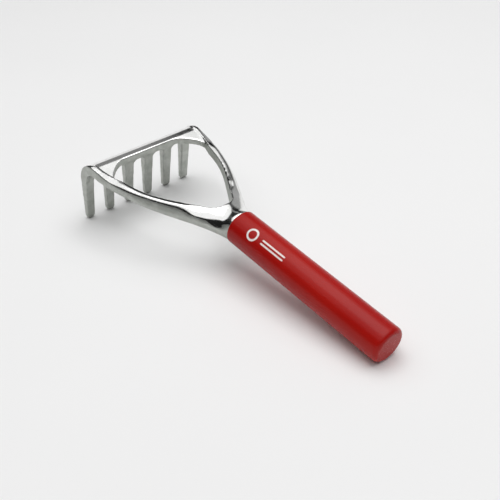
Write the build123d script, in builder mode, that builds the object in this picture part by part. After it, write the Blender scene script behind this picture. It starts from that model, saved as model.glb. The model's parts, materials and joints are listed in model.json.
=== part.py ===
from build123d import *

import os
from math import asin, atan2, cos, degrees, hypot, pi, sin, sqrt

# Six-tine hand rake: a cast aluminium claw head on a red sleeved handle.
#
# Drawn lying level, with the handle's axis on X, the handle's front face at x = 0,
# the tines pointing down (-Z) at the far -X end and Y across. The finished pieces
# are then tipped onto the plane that the tool rests on.

os.makedirs("parts", exist_ok=True)

# Handle
handle_length = 140.0
handle_radius = 12.8
sleeve_wall = 1.3
sleeve_end_round = 3.2
sleeve_mouth_round = 0.5
core_radius = handle_radius - sleeve_wall
core_length = handle_length - sleeve_wall

# Tang inside the handle, a round bar with two flats against turning
tang_length = 92.0
tang_radius = 7.5
tang_flat_height = 12.0
fit_gap = 0.05

# Spring pin across the tang and the core
pin_position = 30.0
pin_radius = 2.0
pin_bore = 1.2
pin_slot = 0.8
pin_length = 20.0

# Tines
tine_count = 6
tine_pitch = 18.47
tine_root_width = 7.9
tine_tip_width = 7.1
tine_tip_round = 3.2
tip_z = -52.4
tip_radius = 2.0
slot_top_z = -12.5
slot_round = 4.2
slot_width = tine_pitch - tine_root_width
tip_rear_x = -125.6
head_half_width = (tine_count - 1) / 2 * tine_pitch + tine_root_width / 2

# Claw: the bar that turns down into the tines
bend_x = -112.0
bend_z = -15.0
bend_radius = 19.1
inner_bend_x = -110.6
inner_bend_radius = 13.5
web_rear_x = -84.0
web_rear_top = 1.7
web_rear_bottom = -2.7

# The bar's ends stop inside the two outer ribs, which form the sides of the bend
bar_half_width = 48.4

# Neck, round where it meets the handle
neck_radius = 12.3
neck_edge_z = 4.5
neck_side_z = -0.85
neck_bottom_z = -6.2


def neck_half_width(height):
    """Half the width of the round neck at a height."""
    return sqrt(neck_radius**2 - height**2)


def arch(half_width, end_z, middle_z):
    """Five points along a circular arc from one side of the head to the other."""
    rise = middle_z - end_z
    radius = (half_width**2 + rise**2) / (2 * rise)
    half_angle = asin(half_width / radius)
    if abs(rise) > abs(half_width):
        half_angle = pi - half_angle
    turns = [half_angle * step / 2 for step in (2, 1, 0, -1, -2)]
    return [(radius * sin(t), middle_z - radius * (1 - cos(t))) for t in turns]


# Head sections from the claw back to the handle, each with its x, the half width and
# height of its top edge, crown height, half width and height of its bulging side,
# half width and height of its bottom edge, and the height of its belly
head_sections = [
    (bend_x, head_half_width, 4.4, 8.6, head_half_width, 0.4, head_half_width, -3.6, -3.9),
    (-98.0, 48.6, 3.1, 9.9, 49.0, -0.4, 48.6, -3.9, -4.2),
    (-75.0, 43.7, 2.6, 9.7, 44.3, -0.5, 43.8, -3.7, -4.2),
    (-45.0, 31.2, 2.7, 9.8, 32.8, -0.7, 31.8, -4.2, -4.8),
    (-22.0, 19.4, 3.2, 10.0, 20.9, -1.0, 19.4, -5.2, -6.4),
    (-9.0, 13.0, 4.1, 11.0, 15.1, -1.1, 13.1, -6.3, -9.6),
    (
        0.0,
        neck_half_width(neck_edge_z),
        neck_edge_z,
        neck_radius,
        neck_half_width(neck_side_z),
        neck_side_z,
        neck_half_width(neck_bottom_z),
        neck_bottom_z,
        -neck_radius,
    ),
]

# Opening of the head, one half: a round corner from the bar, then along the arm to the neck
bar_rear_x = -111.0
corner_points = [(bar_rear_x, 21.0), (-105.0, 34.6), (-92.0, 41.2)]
arm_points = [corner_points[-1], (-70.0, 35.8), (-44.5, 23.2), (-25.0, 11.6), (-17.5, 0.0)]
corner_direction = (0.97, -0.24)

# Inner line of the rib, from the front of the claw to where it runs out in the opening
rib_line_points = [(-140.0, 47.2), (-116.0, 46.7), (-100.0, 44.2), (web_rear_x, 38.6)]

# Plan of the claw from its front corner to the rear of the web, inside the arms
web_outline = [
    (-140.0, head_half_width),
    (-113.0, head_half_width),
    (-108.0, 47.0),
    (web_rear_x, 42.0),
]

through = 60.0


def draw_section(top_y, top_z, crown_z, side_y, side_z, low_y, low_z, belly_z):
    """The closed wire of one head section, as the edges of the line being built."""
    Spline(*arch(top_y, top_z, crown_z))
    Spline((-top_y, top_z), (-side_y, side_z), (-low_y, low_z))
    Spline(*arch(-low_y, low_z, belly_z))
    Spline((low_y, low_z), (side_y, side_z), (top_y, top_z))


# Claw of the casting: a bar that bends down into six tines
with BuildPart() as claw:
    front_x = bend_x - bend_radius
    tip_centre = (tip_rear_x - tip_radius, tip_z + tip_radius)
    with BuildSketch(Plane.XZ):
        with BuildLine():
            Line((web_rear_x, web_rear_bottom), (web_rear_x, web_rear_top))
            Line((web_rear_x, web_rear_top), (bend_x, bend_z + bend_radius))
            CenterArc((bend_x, bend_z), bend_radius, 90, 90)
            Line((front_x, bend_z), (tip_centre[0] - tip_radius, tip_centre[1]))
            CenterArc(tip_centre, tip_radius, 180, 180)
            Line((tip_rear_x, tip_centre[1]), (inner_bend_x - inner_bend_radius, bend_z))
            CenterArc((inner_bend_x, bend_z), inner_bend_radius, 90, 90)
            Line((inner_bend_x, bend_z + inner_bend_radius), (web_rear_x, web_rear_bottom))
        make_face()
    extrude(amount=head_half_width, both=True)
    # The comb seen from the front: six tines with round tips and arched roots
    with BuildSketch(Plane.YZ.offset(-2 * handle_length)) as comb:
        with Locations((0, bend_z)):
            Rectangle(2 * bar_half_width, through, align=(Align.CENTER, Align.MIN))
        with GridLocations(tine_pitch, 0, tine_count, 1):
            Polygon(
                (-tine_root_width / 2, bend_z),
                (tine_root_width / 2, bend_z),
                (tine_tip_width / 2, tip_z),
                (-tine_tip_width / 2, tip_z),
                align=None,
            )
        fillet(comb.vertices().group_by(Axis.Y)[0], tine_tip_round)
        with Locations((0, slot_top_z - slot_round)):
            with GridLocations(tine_pitch, 0, tine_count - 1, 1):
                SlotOverall(slot_width, 2 * slot_round, mode=Mode.SUBTRACT)
    extrude(amount=2 * handle_length, mode=Mode.INTERSECT)
    # The web behind the bend stays inside the arms
    with BuildSketch(Plane.XY.offset(-through)):
        with BuildLine():
            Polyline(*web_outline)
            mirror(about=Plane.XZ)
            Line(web_outline[0], (web_outline[0][0], -web_outline[0][1]))
            Line(web_outline[-1], (web_outline[-1][0], -web_outline[-1][1]))
        make_face()
    extrude(amount=2 * through, mode=Mode.INTERSECT)

# Cast head: arms, neck, claw, tines and the tang that goes into the handle
with BuildPart() as rake_head:
    # Arms and neck as one smooth body, and the bend of the two outer ribs
    for x, *shape in head_sections:
        with BuildSketch(Plane.YZ.offset(x)):
            with BuildLine():
                draw_section(*shape)
            make_face()
    loft()
    with BuildSketch(Plane.YZ.offset(bend_x)):
        with BuildLine():
            draw_section(*head_sections[0][1:])
        make_face()
    revolve(axis=Axis((bend_x, 0, bend_z), (0, 1, 0)), revolution_arc=-90)
    # Everything between the ribs comes out, down to where the web goes in
    with BuildSketch(Plane.XY.offset(-through)):
        with BuildLine():
            rib_line = Spline(*rib_line_points)
            Line(rib_line @ 1, (web_rear_x, 0))
            Line(rib_line @ 0, (rib_line_points[0][0], 0))
            Line((rib_line_points[0][0], 0), (web_rear_x, 0))
        make_face()
        mirror(about=Plane.XZ)
    extrude(amount=2 * through, mode=Mode.SUBTRACT)
    add(claw.part)
    # The D-shaped opening, straight along the bar and round at the corners
    with BuildSketch(Plane.XY.offset(-through)):
        with BuildLine():
            Line((bar_rear_x, 0), corner_points[0])
            Spline(*corner_points, tangents=((0, 1), corner_direction))
            Spline(*arm_points, tangents=(corner_direction, (0, -1)))
            Line(arm_points[-1], (bar_rear_x, 0))
        make_face()
        mirror(about=Plane.XZ)
    extrude(amount=2 * through, mode=Mode.SUBTRACT)
    with BuildSketch(Plane.YZ):
        Circle(tang_radius)
        Rectangle(2 * tang_radius, tang_flat_height, mode=Mode.INTERSECT)
    extrude(amount=tang_length)
    with BuildSketch(Plane.XY.offset(-through)):
        with Locations((pin_position, 0)):
            Circle(pin_radius)
    extrude(amount=2 * through, mode=Mode.SUBTRACT)

# Rigid core of the handle, bored for the tang and drilled for the pin
with BuildPart() as handle_core:
    with BuildSketch(Plane.YZ):
        Circle(core_radius - fit_gap)
    extrude(amount=core_length)
    fillet(handle_core.edges().sort_by(Axis.X)[-1], sleeve_end_round - sleeve_wall)
    with BuildSketch(Plane.YZ):
        Circle(tang_radius + fit_gap)
        Rectangle(2 * core_radius, tang_flat_height + 2 * fit_gap, mode=Mode.INTERSECT)
    extrude(amount=tang_length, mode=Mode.SUBTRACT)
    with BuildSketch(Plane.XY.offset(-through)):
        with Locations((pin_position, 0)):
            Circle(pin_radius)
    extrude(amount=2 * through, mode=Mode.SUBTRACT)

# Slotted spring pin that holds the tang in the core
with BuildPart() as spring_pin:
    with BuildSketch(Plane.XY.offset(-pin_length / 2)):
        with Locations((pin_position, 0)):
            Circle(pin_radius)
            Circle(pin_bore, mode=Mode.SUBTRACT)
            Rectangle(
                2 * pin_radius, pin_slot, align=(Align.MIN, Align.CENTER), mode=Mode.SUBTRACT
            )
    extrude(amount=pin_length)

# Red sleeve drawn over the core, closed and rounded at the rear end
with BuildPart() as grip_sleeve:
    with BuildSketch(Plane.YZ):
        Circle(handle_radius)
    extrude(amount=handle_length)
    fillet(grip_sleeve.edges().sort_by(Axis.X)[-1], sleeve_end_round)
    fillet(grip_sleeve.edges().sort_by(Axis.X)[0], sleeve_mouth_round)
    with BuildSketch(Plane.YZ):
        Circle(core_radius)
    extrude(amount=core_length, mode=Mode.SUBTRACT)
    inner_end = grip_sleeve.edges().filter_by(GeomType.CIRCLE)
    inner_end = inner_end.filter_by_position(Axis.X, core_length - 0.01, core_length + 0.01)
    fillet(inner_end, sleeve_end_round - sleeve_wall)

# The tool rests on its tine tips and on the lower edge of the handle's rear end: the
# plane is the common tangent under the tips' round and the sleeve's end round
heel_x = handle_length - sleeve_end_round
heel_z = -handle_radius + sleeve_end_round
run = heel_x - tip_centre[0]
rise = heel_z - tip_centre[1]
tilt = atan2(rise, run) + asin((tip_radius - sleeve_end_round) / hypot(run, rise))
tipped = Location((0, 0, 0), (0, degrees(tilt), 0))
head_box = rake_head.part.moved(tipped).bounding_box()
sleeve_box = grip_sleeve.part.moved(tipped).bounding_box()
middle_x = (head_box.min.X + sleeve_box.max.X) / 2
resting = Location((-middle_x, 0, -head_box.min.Z)) * tipped
print(f"tilt {degrees(tilt):.3f} deg, shift {-middle_x:.3f}, {-head_box.min.Z:.3f}")

rake_head.part.locate(resting)
rake_head.part.label = "rake_head"
export_step(rake_head.part, "parts/rake_head.step")

handle_core.part.locate(resting)
handle_core.part.label = "handle_core"
export_step(handle_core.part, "parts/handle_core.step")

spring_pin.part.locate(resting)
spring_pin.part.label = "spring_pin"
export_step(spring_pin.part, "parts/spring_pin.step")

grip_sleeve.part.locate(resting)
grip_sleeve.part.label = "grip_sleeve"
export_step(grip_sleeve.part, "parts/grip_sleeve.step")
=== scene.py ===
import json
from math import cos, pi, radians, sin, sqrt

import bmesh
import bpy
import numpy as np
from mathutils import Matrix, Vector


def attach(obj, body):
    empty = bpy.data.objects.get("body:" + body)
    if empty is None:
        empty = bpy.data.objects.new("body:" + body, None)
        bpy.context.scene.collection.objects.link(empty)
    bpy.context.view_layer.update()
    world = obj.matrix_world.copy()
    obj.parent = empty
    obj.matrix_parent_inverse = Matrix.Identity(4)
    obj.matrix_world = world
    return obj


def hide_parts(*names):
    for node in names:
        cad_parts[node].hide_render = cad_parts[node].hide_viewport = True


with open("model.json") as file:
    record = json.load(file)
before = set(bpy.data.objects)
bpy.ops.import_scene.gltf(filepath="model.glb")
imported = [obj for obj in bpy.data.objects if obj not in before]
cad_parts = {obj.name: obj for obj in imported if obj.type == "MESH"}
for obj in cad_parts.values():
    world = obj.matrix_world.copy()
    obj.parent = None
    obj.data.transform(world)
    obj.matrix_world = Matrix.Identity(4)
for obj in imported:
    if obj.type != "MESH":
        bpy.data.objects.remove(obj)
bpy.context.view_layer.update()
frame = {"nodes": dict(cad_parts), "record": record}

# Six-tine hand rake. The CAD frame rests on its tine tips and the heel of its handle. "Level"
# below means the tool's own frame: the handle's axis on X, its front face at the origin, the
# tines pointing down -Z at the far -X end.

MM = 0.001
# The round at the handle's mouth, which the grip mount leaves out
MOUTH_ROUND = 0.5 * MM
scene = bpy.context.scene

# Level frame, from the record's grip mount
grip = next(m for m in frame["record"]["mounts"] if m["name"] == "grip")
handle_axis = Vector(grip["axis"]).normalized()
handle_radius = grip["dims"]["r_mm"] * MM
grip_length = grip["dims"]["length_mm"] * MM
handle_front = Vector(grip["pos_m"]) - handle_axis * (grip_length / 2 + MOUTH_ROUND)
across = Vector((0, 1, 0))
upward = handle_axis.cross(across)
level = Matrix.Translation(handle_front) @ Matrix((handle_axis, across, upward)).transposed().to_4x4()
to_level = level.inverted()


# ---------------------------------------------------------------- node helpers

class Nodes:
    """A short way to write a material's node tree."""

    def __init__(self, name):
        self.material = bpy.data.materials.new(name)
        self.material.use_nodes = True
        self.tree = self.material.node_tree
        self.shader = self.tree.nodes["Principled BSDF"]

    def add(self, kind, **settings):
        node = self.tree.nodes.new(kind)
        for key, value in settings.items():
            setattr(node, key, value)
        return node

    def link(self, source, target):
        self.tree.links.new(source, target)

    def feed(self, value, socket):
        if isinstance(value, bpy.types.NodeSocket):
            self.link(value, socket)
        else:
            socket.default_value = value

    def place(self, scale=(1, 1, 1)):
        """Object coordinates in metres, stretched by scale."""
        coordinates = self.add("ShaderNodeTexCoord")
        mapping = self.add("ShaderNodeMapping")
        mapping.inputs["Scale"].default_value = scale
        self.link(coordinates.outputs["Object"], mapping.inputs["Vector"])
        return mapping.outputs["Vector"]

    def noise(self, scale, detail, rough, stretch=(1, 1, 1)):
        """Noise from 0 to 1, scale cells to the metre."""
        node = self.add("ShaderNodeTexNoise")
        node.inputs["Scale"].default_value = scale
        node.inputs["Detail"].default_value = detail
        node.inputs["Roughness"].default_value = rough
        self.link(self.place(stretch), node.inputs["Vector"])
        return node.outputs["Fac"]

    def remap(self, value, low, high, to_low=0.0, to_high=1.0, smooth=True):
        """Value eased from to_low, at low and below, to to_high, at high and above."""
        node = self.add("ShaderNodeMapRange")
        node.interpolation_type = "SMOOTHSTEP" if smooth else "LINEAR"
        node.inputs["From Min"].default_value = low
        node.inputs["From Max"].default_value = high
        node.inputs["To Min"].default_value = to_low
        node.inputs["To Max"].default_value = to_high
        self.link(value, node.inputs["Value"])
        return node.outputs["Result"]

    def math(self, operation, first, second=0.0):
        node = self.add("ShaderNodeMath", operation=operation)
        self.feed(first, node.inputs[0])
        self.feed(second, node.inputs[1])
        return node.outputs["Value"]

    def blend(self, polish_and_painted_light_share, first, second):
        """First colour where share is 0, second where it is 1."""
        node = self.add("ShaderNodeMix", data_type="RGBA")
        self.feed(polish_and_painted_light_share, node.inputs[0])
        self.feed(first, node.inputs[6])
        self.feed(second, node.inputs[7])
        return node.outputs[2]

    def attribute(self, name):
        return self.add("ShaderNodeAttribute", attribute_name=name).outputs["Fac"]

    def bump(self, height, strength, distance, normal=None):
        node = self.add("ShaderNodeBump")
        node.inputs["Strength"].default_value = strength
        node.inputs["Distance"].default_value = distance
        self.link(height, node.inputs["Height"])
        if normal is not None:
            self.link(normal, node.inputs["Normal"])
        return node.outputs["Normal"]


# ---------------------------------------------------------------- materials

def cast_metal_material():
    """Aluminium casting: polished on top, satin as-cast with a fine grain on its walls. The faces that
    look up also get a near-white base colour, which is a painted highlight. The walls get a darker grey
    one, which is painted shade.
    """
    n = Nodes("cast_metal")
    polish_and_painted_light = n.attribute("polish_and_painted_light")
    patches = n.noise(55, 3, 0.55)
    uneven = n.math("MULTIPLY_ADD", n.remap(patches, 0.3, 0.7), 0.16)
    uneven.node.inputs[2].default_value = -0.08
    polish_and_painted_light_patches = n.math("ADD", polish_and_painted_light, uneven)
    # This share by upward facing is partly a real polish (the roughness) and partly painted light (the
    # base colour)
    polish_and_painted_light_share = n.remap(polish_and_painted_light_patches, 0.25, 0.75)
    # Painted shade: the walls' base colour is darker than the top's only because they face sideways
    satin_tone_with_painted_shade = n.blend(n.remap(n.noise(160, 4, 0.6), 0.3, 0.7),
                         (0.40, 0.415, 0.385, 1), (0.50, 0.515, 0.485, 1))
    # Painted highlight: the upward faces get a near-white base colour
    polished_tone_with_painted_highlight = n.blend(n.remap(n.noise(90, 2, 0.5), 0.35, 0.7),
                          (0.86, 0.865, 0.85, 1), (0.95, 0.95, 0.94, 1))
    n.link(n.blend(polish_and_painted_light_share, satin_tone_with_painted_shade, polished_tone_with_painted_highlight), n.shader.inputs["Base Color"])
    smear = n.noise(260, 2, 0.5, (0.12, 1, 1))
    satin_rough = n.remap(n.noise(420, 3, 0.6), 0.3, 0.7, 0.40, 0.52)
    bright_rough = n.remap(smear, 0.3, 0.7, 0.10, 0.17)
    rough = n.add("ShaderNodeMix", data_type="FLOAT")
    n.link(polish_and_painted_light_share, rough.inputs[0])
    n.link(satin_rough, rough.inputs[2])
    n.link(bright_rough, rough.inputs[3])
    n.link(rough.outputs[0], n.shader.inputs["Roughness"])
    n.shader.inputs["Metallic"].default_value = 1.0
    grain = n.math("MULTIPLY", n.noise(1500, 3, 0.6), n.remap(polish_and_painted_light_share, 0, 1, 1.0, 0.12, False))
    fine = n.bump(grain, 0.35, 0.00012)
    waves = n.bump(n.noise(75, 1, 0.4), 0.06, 0.0003, fine)
    n.link(waves, n.shader.inputs["Normal"])
    return n.material


def red_sleeve_material():
    """Glossy red moulded sleeve with faint flow waves and a few fine scuffs."""
    n = Nodes("red_sleeve")
    tone = n.remap(n.noise(28, 2, 0.5, (0.35, 1, 1)), 0.3, 0.7)
    n.link(n.blend(tone, (0.35, 0.005, 0.004, 1), (0.41, 0.010, 0.006, 1)),
           n.shader.inputs["Base Color"])
    scuffs = n.remap(n.noise(900, 2, 0.6, (0.06, 1, 1)), 0.62, 0.8)
    rough = n.math("MULTIPLY_ADD", scuffs, 0.10)
    rough.node.inputs[2].default_value = 0.27
    n.link(rough, n.shader.inputs["Roughness"])
    n.shader.inputs["IOR"].default_value = 1.45
    n.shader.inputs["Specular IOR Level"].default_value = 0.22
    pores = n.bump(n.noise(2200, 2, 0.5), 0.08, 0.00005)
    n.link(n.bump(n.noise(60, 1, 0.4, (0.5, 1, 1)), 0.12, 0.0004, pores),
           n.shader.inputs["Normal"])
    return n.material


def core_plastic_material():
    """Black moulded core."""
    n = Nodes("core_plastic")
    tone = n.remap(n.noise(300, 3, 0.6), 0.3, 0.7)
    n.link(n.blend(tone, (0.018, 0.018, 0.02, 1), (0.03, 0.03, 0.032, 1)),
           n.shader.inputs["Base Color"])
    n.link(n.remap(n.noise(600, 2, 0.5), 0.3, 0.7, 0.5, 0.62), n.shader.inputs["Roughness"])
    n.link(n.bump(n.noise(1800, 2, 0.5), 0.2, 0.00005), n.shader.inputs["Normal"])
    return n.material


def pin_steel_material():
    """Bright spring steel, drawn lengthwise."""
    n = Nodes("pin_steel")
    lines = n.noise(2500, 2, 0.6, (1, 1, 0.05))
    n.link(n.blend(lines, (0.42, 0.42, 0.43, 1), (0.6, 0.6, 0.61, 1)),
           n.shader.inputs["Base Color"])
    n.link(n.remap(lines, 0.3, 0.7, 0.25, 0.4), n.shader.inputs["Roughness"])
    n.shader.inputs["Metallic"].default_value = 1.0
    n.link(n.bump(lines, 0.2, 0.00004), n.shader.inputs["Normal"])
    return n.material


def print_white_material():
    """White pad print on the sleeve, worn a little thin."""
    n = Nodes("print_white")
    wear = n.remap(n.noise(1400, 3, 0.65), 0.35, 0.6)
    n.link(n.blend(wear, (0.78, 0.60, 0.58, 1), (0.88, 0.87, 0.85, 1)),
           n.shader.inputs["Base Color"])
    n.link(n.remap(n.noise(700, 2, 0.5), 0.3, 0.7, 0.38, 0.5), n.shader.inputs["Roughness"])
    return n.material


def floor_material():
    """Pale matt studio sweep."""
    n = Nodes("studio_floor")
    n.link(n.blend(n.noise(6, 2, 0.5), (0.86, 0.86, 0.86, 1), (0.88, 0.88, 0.88, 1)),
           n.shader.inputs["Base Color"])
    n.shader.inputs["Roughness"].default_value = 0.9
    n.shader.inputs["Specular IOR Level"].default_value = 0.1
    return n.material


def give(piece, material):
    """Puts the material in every slot of a piece."""
    if not piece.data.materials:
        piece.data.materials.append(material)
    for index in range(len(piece.data.materials)):
        piece.data.materials[index] = material


# ---------------------------------------------------------------- cast head

VOXEL = 0.45 * MM
FIRST_SOFTEN = 5
LAST_SOFTEN = 18

# Polish begins where the normal's upward part passes the first value, and is full at the second. The same
# share paints the upward faces lighter (painted highlight) and the walls darker (painted shade).
POLISH_AND_PAINTED_LIGHT_FROM = 0.48
POLISH_AND_PAINTED_LIGHT_FULL = 0.60

# Each arm is measured in short bins along X; the rail fades in from ARM_START and out by ARM_END
ARM_BIN = 1.0 * MM
BINS_SMOOTHED = 9
ARM_START = -100 * MM
ARM_FULL = -80 * MM
ARM_NECK = -40 * MM
ARM_END = -24 * MM

# The rail's section: its crest as a share of the width, its rise, and its slopes on both sides
RAIL_CREST = 0.50
RAIL_CREST_RISE = 0.1 * MM
RAIL_INNER_SLOPE = 0.13
RAIL_INNER_BEND = 1.3
RAIL_OUTER_BEND = 2

# Upward part of the normal at the rail's two edges, and where the top begins to move
INNER_EDGE = 0.6
OUTER_EDGE = 0.44
RAIL_TOP = (0.2, 0.6)
NECK_TOP = (0.1, 0.6)

# The concave flare in front of the handle
NECK_DIP = 1.3 * MM
NECK_DIP_START = -24 * MM
NECK_DIP_DEEPEST = -9 * MM
NECK_DIP_END = -0.5 * MM


def smooth_step(values, low, high):
    """0 below low, 1 above high, eased between."""
    polish_and_painted_light_share = np.clip((values - low) / (high - low), 0, 1)
    return polish_and_painted_light_share * polish_and_painted_light_share * (3 - 2 * polish_and_painted_light_share)


def soft_cast_head(source):
    """A copy of the casting with every edge rounded off, as a tumbled casting has them."""
    mesh = source.data.copy()
    mesh.name = "cast_head"
    piece = bpy.data.objects.new("cast_head", mesh)
    scene.collection.objects.link(piece)
    remesh = piece.modifiers.new("Remesh", "REMESH")
    remesh.mode = "VOXEL"
    remesh.voxel_size = VOXEL
    remesh.use_smooth_shade = True
    smooth_piece(piece, FIRST_SOFTEN)
    crown_arms(piece)
    smooth_piece(piece, LAST_SOFTEN)
    return piece


def smooth_piece(piece, steps):
    """Relaxes the piece's points a little, which rounds its edges."""
    soften = piece.modifiers.new("Soften", "SMOOTH")
    soften.factor = 0.5
    soften.iterations = steps
    bpy.context.view_layer.update()
    finished = piece.evaluated_get(bpy.context.evaluated_depsgraph_get())
    mesh = piece.data
    result = bpy.data.meshes.new_from_object(finished)
    piece.modifiers.clear()
    piece.data = result
    bpy.data.meshes.remove(mesh)


def level_points(mesh):
    """The mesh's points and normals in the level frame, as arrays."""
    points = np.empty(len(mesh.vertices) * 3)
    mesh.vertices.foreach_get("co", points)
    normals = np.empty(len(mesh.vertices) * 3)
    mesh.vertex_normals.foreach_get("vector", normals)
    turn = np.array(to_level.to_3x3())
    shift = np.array(to_level.translation)
    return points.reshape(-1, 3) @ turn.T + shift, normals.reshape(-1, 3) @ turn.T


def crown_arms(piece):
    """Gives each arm a rounded rail on top, and hollows the neck in front of the handle."""
    mesh = piece.data
    points, normals = level_points(mesh)
    along, out, rise = points[:, 0], np.abs(points[:, 1]), points[:, 2]
    bins = np.arange(ARM_START, ARM_END + ARM_BIN, ARM_BIN)
    index = np.digitize(along, bins)
    rows = []
    for number in range(1, len(bins)):
        ring = index == number
        inner = np.argmin(np.where(ring & (normals[:, 2] > INNER_EDGE), out, 1))
        outer = np.argmax(np.where(ring & (normals[:, 2] > OUTER_EDGE), out, -1))
        middle = bins[number - 1] + ARM_BIN / 2
        rows.append((middle, out[inner], out[outer], rise[inner] - rise[outer]))
    middles, *edges = np.array(rows).T
    kernel = np.hanning(BINS_SMOOTHED) / np.hanning(BINS_SMOOTHED).sum()
    padded = (np.pad(edge, BINS_SMOOTHED // 2, "edge") for edge in edges)
    inner, outer, drop = (np.convolve(edge, kernel, "valid") for edge in padded)
    width = np.interp(along, middles, outer - inner)
    fall = np.interp(along, middles, drop)
    u = np.clip((out - np.interp(along, middles, inner)) / width, 0, 1)
    dip = RAIL_INNER_SLOPE * RAIL_CREST * width / RAIL_INNER_BEND
    inner_side = RAIL_CREST_RISE - dip * np.clip(1 - u / RAIL_CREST, 0, 1) ** RAIL_INNER_BEND
    beyond = np.clip((u - RAIL_CREST) / (1 - RAIL_CREST), 0, 1)
    outer_side = RAIL_CREST_RISE - (fall + RAIL_CREST_RISE) * beyond ** RAIL_OUTER_BEND
    rail = np.where(u < RAIL_CREST, inner_side, outer_side)
    weight = smooth_step(along, ARM_START, ARM_FULL) * (1 - smooth_step(along, ARM_NECK, ARM_END))
    weight *= smooth_step(normals[:, 2], *RAIL_TOP)
    lift = weight * (rail + fall * u)
    hollow = smooth_step(along, NECK_DIP_START, NECK_DIP_DEEPEST)
    hollow *= 1 - smooth_step(along, NECK_DIP_DEEPEST, NECK_DIP_END)
    lift -= NECK_DIP * hollow * smooth_step(normals[:, 2], *NECK_TOP)
    lifted = points + lift[:, None] * np.array((0, 0, 1))
    turn = np.array(level.to_3x3())
    moved = lifted @ turn.T + np.array(level.translation)
    mesh.vertices.foreach_set("co", moved.reshape(-1))
    mesh.update()


def mark_polish_and_painted_light(piece):
    """Stores how polished each point is: 1 on faces that look up, 0 on walls and below. The material also
    uses it to paint a highlight on the top and shade on the walls.
    """
    mesh = piece.data
    normals = level_points(mesh)[1]
    polish_and_painted_light = mesh.attributes.new("polish_and_painted_light", "FLOAT", "POINT")
    polish_and_painted_light.data.foreach_set("value", smooth_step(normals[:, 2], POLISH_AND_PAINTED_LIGHT_FROM, POLISH_AND_PAINTED_LIGHT_FULL))


head = soft_cast_head(frame["nodes"]["rake_head"])
mark_polish_and_painted_light(head)
give(head, cast_metal_material())
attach(head, "root")
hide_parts("rake_head")

give(frame["nodes"]["grip_sleeve"], red_sleeve_material())
give(frame["nodes"]["handle_core"], core_plastic_material())
give(frame["nodes"]["spring_pin"], pin_steel_material())


# ---------------------------------------------------------------- print on the sleeve

PRINT_PROUD = 0.04 * MM
PRINT_SUNK = 0.10 * MM
PRINT_TURN = radians(35)
RING_X = 20 * MM
RING_OUTER = 4.7 * MM
RING_INNER = 3.2 * MM
BAR_START = 29 * MM
BAR_LENGTH = 22 * MM
BAR_WIDTH = 1.2 * MM
BAR_GAP = 2.6 * MM
BAR_STEPS = 88
RING_STEPS = 72


def on_sleeve(x, around, depth):
    """A point at x along the handle and around it, as a distance on the surface."""
    radius = handle_radius + depth
    turn = PRINT_TURN + around / handle_radius
    return level @ Vector((x, -radius * sin(turn), radius * cos(turn)))


def print_patch(name, grid, closed):
    """A thin raised patch on the sleeve over a grid of (x, around) rows."""
    mesh = bmesh.new()
    layers = [[[mesh.verts.new(on_sleeve(x, around, depth)) for x, around in row] for row in grid]
              for depth in (PRINT_PROUD, -PRINT_SUNK)]
    count = len(grid)
    for layer, flip in zip(layers, (False, True)):
        for i in range(count if closed else count - 1):
            for here, there in zip(range(len(grid[0]) - 1), range(1, len(grid[0]))):
                ring = [layer[i][here], layer[i][there],
                        layer[(i + 1) % count][there], layer[(i + 1) % count][here]]
                mesh.faces.new(ring[::-1] if flip else ring)
    edges = [edge for edge in mesh.edges if edge.is_boundary]
    if closed:
        bridge_rims(mesh, layers)
    else:
        bmesh.ops.bridge_loops(mesh, edges=edges)
    bmesh.ops.recalc_face_normals(mesh, faces=mesh.faces)
    data = bpy.data.meshes.new(name)
    mesh.to_mesh(data)
    mesh.free()
    patch = bpy.data.objects.new(name, data)
    scene.collection.objects.link(patch)
    give(patch, print_white)
    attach(patch, "root")


def bridge_rims(mesh, layers):
    """Closes the inner and the outer rim of a ring between its two layers."""
    top, low = layers
    count = len(top)
    for column in (0, -1):
        for i in range(count):
            after = (i + 1) % count
            mesh.faces.new((top[i][column], top[after][column], low[after][column], low[i][column]))


def bar_grid(offset):
    """A straight bar with round ends, along the handle."""
    half = BAR_WIDTH / 2
    rows = []
    for step in range(BAR_STEPS + 1):
        x = BAR_LENGTH * step / BAR_STEPS
        from_end = min(x, BAR_LENGTH - x)
        reach = half if from_end >= half else sqrt(max(half**2 - (half - from_end) ** 2, (half / 4) ** 2))
        rows.append([(BAR_START + x, offset + reach * side / 2) for side in range(-2, 3)])
    return rows


def ring_grid():
    """A plain ring."""
    rows = []
    for step in range(RING_STEPS):
        turn = 2 * pi * step / RING_STEPS
        rows.append([(RING_X + radius * cos(turn), radius * sin(turn))
                     for radius in (RING_INNER, (RING_INNER + RING_OUTER) / 2, RING_OUTER)])
    return rows


print_white = print_white_material()
print_patch("print_ring", ring_grid(), True)
print_patch("print_bar_upper", bar_grid(-BAR_GAP / 2), False)
print_patch("print_bar_lower", bar_grid(BAR_GAP / 2), False)


# ---------------------------------------------------------------- studio

FLOOR_HALF = 4.0


def add_floor():
    """A wide pale floor under the tool."""
    mesh = bpy.data.meshes.new("studio_floor")
    grid = bmesh.new()
    bmesh.ops.create_grid(grid, x_segments=8, y_segments=8, size=FLOOR_HALF)
    grid.to_mesh(mesh)
    grid.free()
    floor = bpy.data.objects.new("studio_floor", mesh)
    scene.collection.objects.link(floor)
    give(floor, floor_material())


def add_softbox(name, elevation, distance, width, height, power):
    """A rectangular softbox behind and above the tool that looks at it."""
    data = bpy.data.lights.new(name, "AREA")
    data.shape = "RECTANGLE"
    data.size = width
    data.size_y = height
    data.energy = power
    lamp = bpy.data.objects.new(name, data)
    scene.collection.objects.link(lamp)
    away = Vector((0, cos(radians(elevation)), sin(radians(elevation))))
    lamp.location = away * distance
    lamp.rotation_euler = away.to_track_quat("Z", "Y").to_euler()


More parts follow.
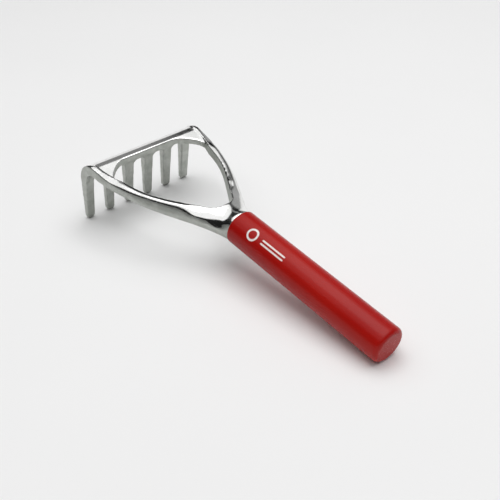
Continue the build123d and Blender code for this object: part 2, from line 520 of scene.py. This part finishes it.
# Brightness of the studio's surroundings, and the heights of their edges on a unit sphere
CEILING_GLOW = 0.95
HORIZON_GLOW = 0.85
FAR_WALL_GLOW = 0.34
CARD_GLOW = 0.22
GAP_GLOW = 0.012
CEILING_EDGE = (0.58, 0.61)
HORIZON_EDGE = (0.0, 0.08)
NEAR_FLAG = 0.28
FAR_FLAG = 0.075
BACK_HORIZON_LIFT = 0.2


def add_world():
    """Surroundings for the metal to mirror: a pale horizon, a bright ceiling whose edge two
    flags push up, a dark gap between them with a grey card, and a screen behind the bar."""
    world = bpy.data.worlds.new("studio")
    world.use_nodes = True
    n = Nodes.__new__(Nodes)
    n.tree = world.node_tree
    background = n.tree.nodes["Background"]
    direction = n.add("ShaderNodeSeparateXYZ")
    n.link(n.add("ShaderNodeTexCoord").outputs["Generated"], direction.inputs[0])
    ahead, side, rise = (direction.outputs[axis] for axis in "XYZ")
    near_flag = n.remap(side, -0.85, -0.6, NEAR_FLAG, 0.0)
    far_flag = n.remap(side, 0.30, 0.42, 0.0, FAR_FLAG)
    above = n.math("SUBTRACT", rise, n.math("ADD", near_flag, far_flag))
    ceiling = n.remap(above, *CEILING_EDGE, 0.0, CEILING_GLOW)
    screen = n.math("MULTIPLY", n.remap(ahead, -0.64, -0.59, 1.0, 0.0), n.remap(side, 0.30, 0.42))
    ceiling = n.math("MULTIPLY", ceiling, n.math("SUBTRACT", 1.0, screen))
    card_start = n.remap(side, 0.36, 0.42, 0.0, CARD_GLOW)
    grey_card = n.math("MULTIPLY", card_start, n.remap(side, 0.48, 0.52, 1.0, 0.0))
    gap = n.math("MAXIMUM", grey_card, n.remap(side, 0.66, 0.78, GAP_GLOW, FAR_WALL_GLOW))
    lift_end = n.remap(side, 0.50, 0.56, BACK_HORIZON_LIFT, 0.0)
    lift = n.math("MULTIPLY", n.remap(side, 0.2, 0.3), lift_end)
    horizon = n.remap(n.math("SUBTRACT", rise, lift), *HORIZON_EDGE, HORIZON_GLOW, 0.0)
    glow = n.math("MAXIMUM", n.math("MAXIMUM", gap, horizon), ceiling)
    n.link(glow, background.inputs["Color"])
    background.inputs["Strength"].default_value = 1.0
    scene.world = world


# The camera in the level frame: its place and two of its axes
CAMERA_CENTRE = (318.8 * MM, -297.3 * MM, 358.4 * MM)
CAMERA_RIGHT = (0.6389, 0.7672, 0.0575)
CAMERA_BACK = (0.5497, -0.5075, 0.6635)
LENS = 58.0
SENSOR = 36.0
SHIFT = (0.029, 0.014)


def add_camera():
    """The photographer's camera, above and beside the handle's rear end."""
    back = Vector(CAMERA_BACK)
    right = Vector(CAMERA_RIGHT)
    up = back.cross(right)
    pose = Matrix((right, up, back)).transposed().to_4x4()
    data = bpy.data.cameras.new("photo_camera")
    data.sensor_width = SENSOR
    data.lens = LENS
    data.shift_x, data.shift_y = SHIFT
    data.clip_start = 0.01
    camera = bpy.data.objects.new("photo_camera", data)
    scene.collection.objects.link(camera)
    camera.matrix_world = level @ Matrix.Translation(CAMERA_CENTRE) @ pose
    scene.camera = camera


add_floor()
add_world()
add_camera()
add_softbox("overhead", elevation=85, distance=1.6, width=1.4, height=1.4, power=13)

scene.view_settings.view_transform = "Standard"
scene.view_settings.look = "None"
